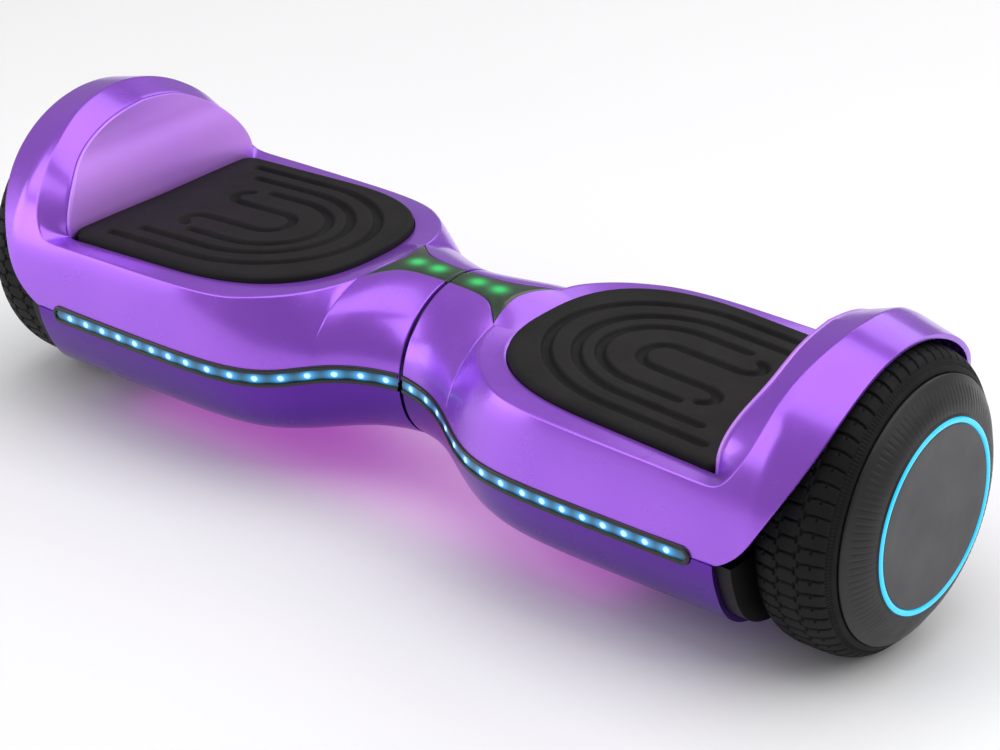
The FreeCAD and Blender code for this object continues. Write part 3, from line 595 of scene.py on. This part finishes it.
def swept(profile, x, place, end_round):
    """Sweeps (half height, stand-off) pairs, listed from the middle out, to a half round end."""
    point, normal = strip_frame(x)
    reach = np.array([h for h, _ in profile])
    proud = np.array([p for _, p in profile])
    past = np.maximum(place - place[-1] + end_round, 0)[:, None]
    stand = np.where(reach[None] >= past, proud[None], np.interp(past, reach, proud))
    rise = np.sqrt(np.maximum(reach[None] ** 2 - past ** 2, 0))
    upper = point[:, None] + normal[:, None] * stand[:, :, None]
    lower = upper.copy()
    upper[:, :, 2] += rise
    lower[:, :, 2] -= rise
    return np.concatenate([lower[:, ::-1], upper], axis=1)


def lamp_runs():
    """Distances of the lamps from the strip's outer end: close together first, then wider."""
    first, close, wide = 13.9, 13.07, 15.1
    close_run = [first + close * i for i in range(8)]
    return close_run + [close_run[-1] + wide * i for i in range(1, 9)]


def light_strip(side):
    bezel_half, lens_half = 5.3, 2.85
    x, place = strip_stations(strip_end_x - 0.3, bezel_half)
    bezel = [(0, -1.0), (2.9, -1.0), (2.901, 0.6), (3.0, 0.85), (3.3, 0.95), (4.6, 0.95), (5.0, 0.85),
             (bezel_half - 0.001, 0.5), (bezel_half, -2.0)]
    shape = Shape().add(swept(bezel, x, place, bezel_half), flip=True)
    shape.build(side_name(side, "strip_bezel"), side, half_body(side), BLACK_TRIM, "black_trim",
                [side_name(side, "led_bezel")])

    inner_x, inner_run = strip_stations(strip_end_x - 2.8, lens_half, 620)
    lens = [(h, 0.35 - 0.05 * h * h) for h in np.linspace(0, lens_half, 8)]
    lamps = np.array([inner_run[-1] + 2.5 - d for d in lamp_runs()])
    nearest = np.min(np.abs(inner_run[:, None] - lamps[None]), axis=1)
    height = np.concatenate([np.linspace(lens_half, 0, 8), np.linspace(0, lens_half, 8)])
    away = np.hypot(nearest[:, None], height[None] * 1.2)
    glow = np.exp(-(away / 4.2) ** 2) + 0.25 * np.exp(-(height[None] / 2.2) ** 2)
    grid = swept(lens, inner_x, inner_run, lens_half)
    shape = Shape().add(grid, flip=True, glow=np.clip(glow, 0, 1))
    shape.build(side_name(side, "strip_lens"), side, half_body(side), STRIP_LIGHT, "blue_lens",
                [side_name(side, "led_lens")])

    shape = Shape()
    stations = np.interp(lamps, inner_run, inner_x)
    point, normal = strip_frame(stations)
    for centre, out in zip(point, normal):
        along = np.cross(out, (0, 0, 1))
        rings, spokes = 7, 24
        turn = np.linspace(0, 2 * np.pi, spokes, endpoint=False)[:, None]
        radius = np.sin(np.linspace(0, np.pi / 2, rings))[None] * lamp_radius
        dome = 0.34 + 0.4 * np.cos(np.linspace(0, np.pi / 2, rings))[None]
        grid = (centre + along * (radius * np.cos(turn) * 1.15)[..., None]
                + np.array([0, 0, 1.0]) * (radius * np.sin(turn))[..., None]
                + out * (dome * np.ones_like(turn))[..., None])
        glow = np.broadcast_to(1 - 0.7 * (radius / lamp_radius) ** 2, (spokes, rings))
        shape.add(grid, closed=True, glow=glow)
    shape.build(side_name(side, "strip_lamps"), side, half_body(side), LAMP, "white_led",
                [side_name(side, "leds")], weld=0.01)


def indicator_lens(side):
    """Smoked lens over the waist, flush with the shell, lit by two lamps."""
    u = np.linspace(0, 1, 60)
    v = np.linspace(-1, 1, 49)
    nose_x = lens_nose_x - 0.2
    tip_x = nose_x + (lens_tip_x - nose_x) * np.abs(v) ** 1.6
    x = gap_half + 0.1 + (tip_x[None] - gap_half - 0.1) * u[:, None]
    side_y = lens_side(gap_half + (lens_tip_x - gap_half) * u)[:, 0] - 0.25
    y = v[None] * side_y[:, None]
    z = flank_z(x, y) - 0.1
    edge = np.minimum(1 - np.abs(v)[None], 1 - u[:, None])
    z = z - 0.35 * (1 - step(edge, 0, 0.05))
    lamps = [(14.0, 0.0), (29.0, 0.0)]
    glow = sum(np.exp(-(((x - a) / 5.6) ** 2 + ((y - b) / 5.2) ** 2)) for a, b in lamps)
    glow = np.clip(glow + 0.10 * step(edge, 0, 0.3), 0, 1)
    shape = Shape().add(np.stack([x, y, z], axis=-1), glow=glow)
    piece = shape.build(side_name(side, "battery_light"), side, half_body(side), LENS_LIGHT, "green_lens",
                        [side_name(side, "indicator_lens")], weld=0)
    return solid(piece, 1.5, 0)


# ---------------------------------------------------------------- footpads

def capsule(x, y, path):
    """Distance from each point to a run of straight pieces."""
    best = np.full_like(x, 1e9)
    for (x0, y0), (x1, y1) in zip(path, path[1:]):
        dx, dy = x1 - x0, y1 - y0
        share = np.clip(((x - x0) * dx + (y - y0) * dy) / (dx * dx + dy * dy), 0, 1)
        best = np.minimum(best, np.hypot(x - x0 - share * dx, y - y0 - share * dy))
    return best


def arc(cx, cy, rx, ry, start, end, count=20):
    turns = np.radians(np.linspace(start, end, count))
    return [(cx + rx * math.cos(t), cy + ry * math.sin(t)) for t in turns]


def groove_paths():
    """Three nested U grooves, open to the wheel, and the hooked groove inside them."""
    paths = []
    grooves = ((208, 208, 76.0, 61.5), (196, 195, 92.5, 47.5), (172, 170, 105.0, 33.5))
    for front, back, nose, half in grooves:
        curve_x = nose + half * 1.15
        u_turn = arc(curve_x, 0, curve_x - nose, half, 270, 90, 28)
        paths.append([(front, -half)] + u_turn + [(back, half)])
    arm, nose, hook_x, hook = 13.2, 127.5, 177.0, 8.0
    loop = arc(nose + arm, 0, arm, arm, 270, 90, 16)
    front = arc(hook_x, -arm - hook, hook + 2, hook, 90, -62, 12)
    back = arc(hook_x, arm + hook, hook + 2, hook, -90, 62, 12)
    paths.append(list(reversed(front)) + loop + back)
    return paths


def pad_outline(count):
    """Points round the pad, evenly spaced, in the pad's own plane."""
    nose = [pad_polar(t, 0) for t in np.radians(np.linspace(-90, 90, 240))]
    c = pad_corner
    end = arc(pad_outer_x - c, pad_half_width - c, c, c, 90, 0, 16)
    end += arc(pad_outer_x - c, c - pad_half_width, c, c, 0, -90, 16)
    loop = np.array(nose + end + [nose[0]])
    run = np.concatenate([[0], np.cumsum(np.hypot(*np.diff(loop, axis=0).T))])
    query = np.linspace(0, run[-1], count, endpoint=False)
    return np.stack([np.interp(query, run, loop[:, 0]), np.interp(query, run, loop[:, 1])], axis=-1)


def footpad(side):
    """Rubber pad with a rolled edge and moulded grooves."""
    count, rings = 620, 120
    outline = pad_outline(count)
    spine_x = np.clip(outline[:, 0], 132, 205)
    spine = np.stack([spine_x, np.zeros(count)], axis=-1)
    share = np.linspace(0, 1, rings) ** 1.15
    plan = outline[:, None] * (1 - share[None, :, None]) + spine[:, None] * share[None, :, None]
    inward = np.linalg.norm(plan - outline[:, None], axis=-1)
    x, y = plan[..., 0], plan[..., 1]
    roll = 3.2
    near = np.clip(inward / roll, 0, 1)
    height = pad_rise - roll * 0.8 * (1 - np.sqrt(1 - (1 - near) ** 2))
    border = step(inward, 3.0, 9.0)
    depth = np.zeros_like(x)
    for path in groove_paths():
        away = capsule(x, y, path)
        depth = np.maximum(depth, 1 - step(away, 1.4, 3.7))
    height = height - 2.7 * depth * border
    height = height + 0.35 * step(inward, 4, 30)
    skirt = np.stack([outline[:, 0], outline[:, 1], np.full(count, -3.8)], axis=-1)
    top = np.stack([x, y, height], axis=-1)
    grid = np.concatenate([skirt[:, None], top], axis=1)
    slope = math.atan(deck_slope)
    local_x, local_z = grid[..., 0].copy(), grid[..., 2].copy()
    grid[..., 0] = local_x * math.cos(slope) + local_z * math.sin(slope)
    grid[..., 2] = deck_top_z - local_x * math.sin(slope) + local_z * math.cos(slope)
    # Painted shade: the grooves, the rolled border and the skirt (side wall, 0.3) get lower glow values,
    # which darken the rubber there as shade would; the lands keep the light colour.
    painted_shade = 1 - 0.85 * depth * border - 0.3 * (1 - border)
    painted_pad_shade = np.concatenate([np.full((count, 1), 0.3), painted_shade], axis=1)
    shape = Shape().add(grid, closed=True, flip=True, glow=painted_pad_shade)
    body = side_name(side, "footpad")
    piece = shape.build(side_name(side, "foot_mat"), side, body, PAD_RUBBER, "pad_rubber",
                        [side_name(side, "footpad")], weld=0.01)
    return piece


# ---------------------------------------------------------------- wheels

def wheel_grid(profile, turns, relief=None):
    """Revolves (x, radius) pairs about the wheel axis; relief lowers the surface, in mm."""
    profile = np.array(profile)
    angle = np.linspace(0, 2 * np.pi, turns, endpoint=False)
    x = np.broadcast_to(profile[:, 0], (turns, len(profile)))
    radius = np.broadcast_to(profile[:, 1], (turns, len(profile))).copy()
    if relief is not None:
        radius = radius - relief
    y = radius * np.cos(angle)[:, None]
    z = wheel_z + radius * np.sin(angle)[:, None]
    return np.stack([x, y, z], axis=-1)


def tyre_profile(count):
    """Outside of the tyre from the inner bead to the outer one, evenly spaced."""
    x0 = tyre_inner_x
    points = Curve([(x0 + 1.2, 63), (x0 + 0.3, 68), (x0 + 0.6, 74), (x0 + 3, 79), (x0 + 8, 81.7),
                    (x0 + 15, 82.45), (x0 + 22, 82.5), (x0 + 29, 82.3), (x0 + 35, 81.2), (x0 + 40.0, 78.6),
                    (x0 + 43.4, 75), (x0 + 45.2, 72.6), (x0 + 45.2, 71.4), (x0 + 43.5, 70.6)])
    return points(np.linspace(0, 1, count))


def tyre(side):
    """Solid tyre with a siped, blocky tread that runs on to the shoulder."""
    turns, count, blocks = 1320, 150, 60
    profile = tyre_profile(count)
    run = np.concatenate([[0], np.cumsum(np.linalg.norm(np.diff(profile, axis=0), axis=1))])
    across = (run - np.interp(tyre_inner_x + 22.5, profile[40:110, 0], run[40:110]))[None]
    reach = np.abs(across)
    angle = np.linspace(0, 1, turns, endpoint=False)[:, None]
    block = 2 * np.pi * tyre_radius / blocks

    def away_from_pitch(offset, per_block=1):
        """Distance round the tyre to the nearest of the evenly spaced cuts."""
        phase = (angle * blocks * per_block + offset) % 1.0
        return np.abs(phase - 0.5) * block / per_block

    def cut(away, width, low, high):
        inside = step(reach, low - 0.5, low) * (1 - step(reach, high, high + 0.5))
        return (1 - step(away, width, width + 0.55)) * inside

    bend = 0.10 * np.sin((reach - 6) * 0.24)
    relief = np.maximum(cut(away_from_pitch(0.0), 0.35, 0, 4.6), cut(np.abs(reach - 4.8), 0.3, 0, 99)
                        * (away_from_pitch(0.0) < 2.2))
    relief = np.maximum(relief, cut(away_from_pitch(0.5 + bend), 0.4, 6.6, 19.6))
    relief = np.maximum(relief, 0.9 * cut(np.abs(reach - 6.8), 0.3, 0, 99) * (away_from_pitch(0.5) < 2.0))
    relief = np.maximum(relief, 0.9 * cut(np.abs(reach - 13.2), 0.25, 0, 99)
                        * (away_from_pitch(0.42) < 1.1))
    relief = np.maximum(relief, 0.5 * cut(np.abs(reach - 20.4), 0.2, 0, 99))
    relief = 1.5 * relief + 0.5 * cut(away_from_pitch(0.0, 4), 0.3, 21.0, 23.5)
    shape = Shape().add(wheel_grid(profile, turns, relief), closed=True)
    body = side_name(side, "wheel")
    return shape.build(side_name(side, "tread"), side, body, TYRE_RUBBER, "tyre_rubber",
                       [side_name(side, "tyre")], weld=0)


def hub_cover(side):
    """Wheel cover: ribbed cone, grey disc inside the ring light, narrow lip at the tyre."""
    body = side_name(side, "wheel")
    face, base = hub_face_x, hub_face_x - 10.0
    cone = [(base - 3.0, hub_cap_radius - 1.0), (base - 1.2, hub_cap_radius - 0.1),
            (base - 0.4, hub_cap_radius), (base + 0.2, hub_cap_radius - 0.6)]
    steps = np.linspace(0, 1, 26)
    radii = hub_cap_radius - 2.4 - (hub_cap_radius - 2.4 - 53.2) * steps
    bulge = base + 1.2 + 7.6 * np.sin(steps * np.pi / 2 * 0.92) / math.sin(np.pi / 2 * 0.92)
    cone += list(zip(bulge, radii))
    cone += [(face - 0.7, 52.9), (face - 0.35, 52.4), (face - 0.5, 52.0), (face - 1.6, 51.9)]
    cone = np.array(cone)
    turns, rib_count = 1152, 108
    angle = np.linspace(0, 1, turns, endpoint=False)[:, None] * rib_count
    rib = np.abs((angle % 1.0) - 0.5)
    share = ((hub_cap_radius - cone[:, 1]) / (hub_cap_radius - 52))[None]
    relief = 0.4 * np.exp(-(rib / 0.14) ** 2) * step(share, 0.16, 0.24) * (1 - step(share, 0.9, 0.97))
    shape = Shape().add(wheel_grid(cone, turns, relief), closed=True)
    shape.build(side_name(side, "wheel_cover"), side, body, HUB_PLASTIC, "grey_plastic",
                [side_name(side, "hub_cap")], weld=0)

    disc = [(face - 1.6, 48.9), (face - 0.5, 48.8), (face - 0.15, 48.4), (face - 0.05, 47.7)]
    disc += [(face - 0.05, r) for r in (40, 30, 20, 10, 0.02)]
    shape = Shape().add(wheel_grid(disc, 360), closed=True)
    shape.build(side_name(side, "wheel_disc"), side, body, HUB_DISC, "grey_plastic", weld=0)

    ring = [(face - 1.6, 51.9), (face - 0.1, 51.8), (face + 0.2, 51.3), (face + 0.3, 50.4),
            (face + 0.2, 49.5), (face - 0.1, 49.0), (face - 1.6, 48.95)]
    glow = np.ones((360, len(ring)))
    shape = Shape().add(wheel_grid(ring, 360), closed=True, glow=glow)
    shape.build(side_name(side, "wheel_ring"), side, body, RING_LIGHT, "cyan_light",
                [side_name(side, "ring_light")], weld=0)


# ---------------------------------------------------------------- studio

def make_floor():
    material, tree, shader = new_material("studio_floor", (0.96, 0.955, 0.965), 0.55)
    tree.links.new(mapped(tree, noise(tree, 3, 2), 0.5, 0.6), shader.inputs["Roughness"])
    bpy.ops.mesh.primitive_plane_add(size=14, location=(0, 0, 0))
    floor = bpy.context.object
    floor.name = "studio_floor"
    floor.data.materials.append(material)


def area_light(name, place, target, size, power, colour=(1, 1, 1)):
    data = bpy.data.lights.new(name, "AREA")
    data.shape = "RECTANGLE"
    data.size, data.size_y = size
    data.energy = power
    data.color = colour
    light = bpy.data.objects.new(name, data)
    bpy.context.scene.collection.objects.link(light)
    light.location = place
    light.rotation_euler = (Vector(target) - Vector(place)).to_track_quat("-Z", "Y").to_euler()


def make_lights():
    world = bpy.data.worlds.new("studio")
    bpy.context.scene.world = world
    world.use_nodes = True
    world.node_tree.nodes["Background"].inputs["Color"].default_value = (1.0, 0.99, 1.0, 1)
    world.node_tree.nodes["Background"].inputs["Strength"].default_value = 0.28
    bpy.context.scene.view_settings.view_transform = "Standard"
    middle = (0, 0, 0.1)
    area_light("key", (-1.5, -1.7, 1.8), middle, (2.0, 1.5), 17)
    area_light("left", (-1.65, -1.2, 0.38), (-0.1, 0, 0.1), (1.2, 0.7), 6)
    area_light("side", (1.6, 0.5, 1.4), (-0.2, 0, 0.1), (1.4, 1.4), 13)
    area_light("back", (0.3, 1.9, 1.5), middle, (3.0, 1.2), 14)
    area_light("top", (0.0, 0.0, 2.2), middle, (2.4, 2.4), 28)
    area_light("under_glow", (-0.03, 0.0, 0.02), (-0.03, 0.0, -1.0), (0.36, 0.12), 0.045, (0.95, 0.12, 0.9))


def make_camera():
    """Camera at the reference view, looking back along its azimuth and elevation."""
    azimuth, elevation = math.radians(38.889), math.radians(26.541)
    back = Vector((math.sin(azimuth) * math.cos(elevation), -math.cos(azimuth) * math.cos(elevation),
                   math.sin(elevation)))
    data = bpy.data.cameras.new("camera")
    data.lens = 105.03
    data.sensor_width = 36.0
    data.clip_start, data.clip_end = 0.05, 50
    camera = bpy.data.objects.new("camera", data)
    camera.location = (0.9307, -1.1175, 0.7912)
    camera.rotation_euler = (-back).to_track_quat("-Z", "Y").to_euler()
    bpy.context.scene.collection.objects.link(camera)
    bpy.context.scene.camera = camera


finish_nodes()
for half in (1, -1):
    top_shell(half)
    fender_wall(half)
    light_strip(half)
    indicator_lens(half)
    footpad(half)
    tyre(half)
    hub_cover(half)
make_floor()
make_lights()
make_camera()
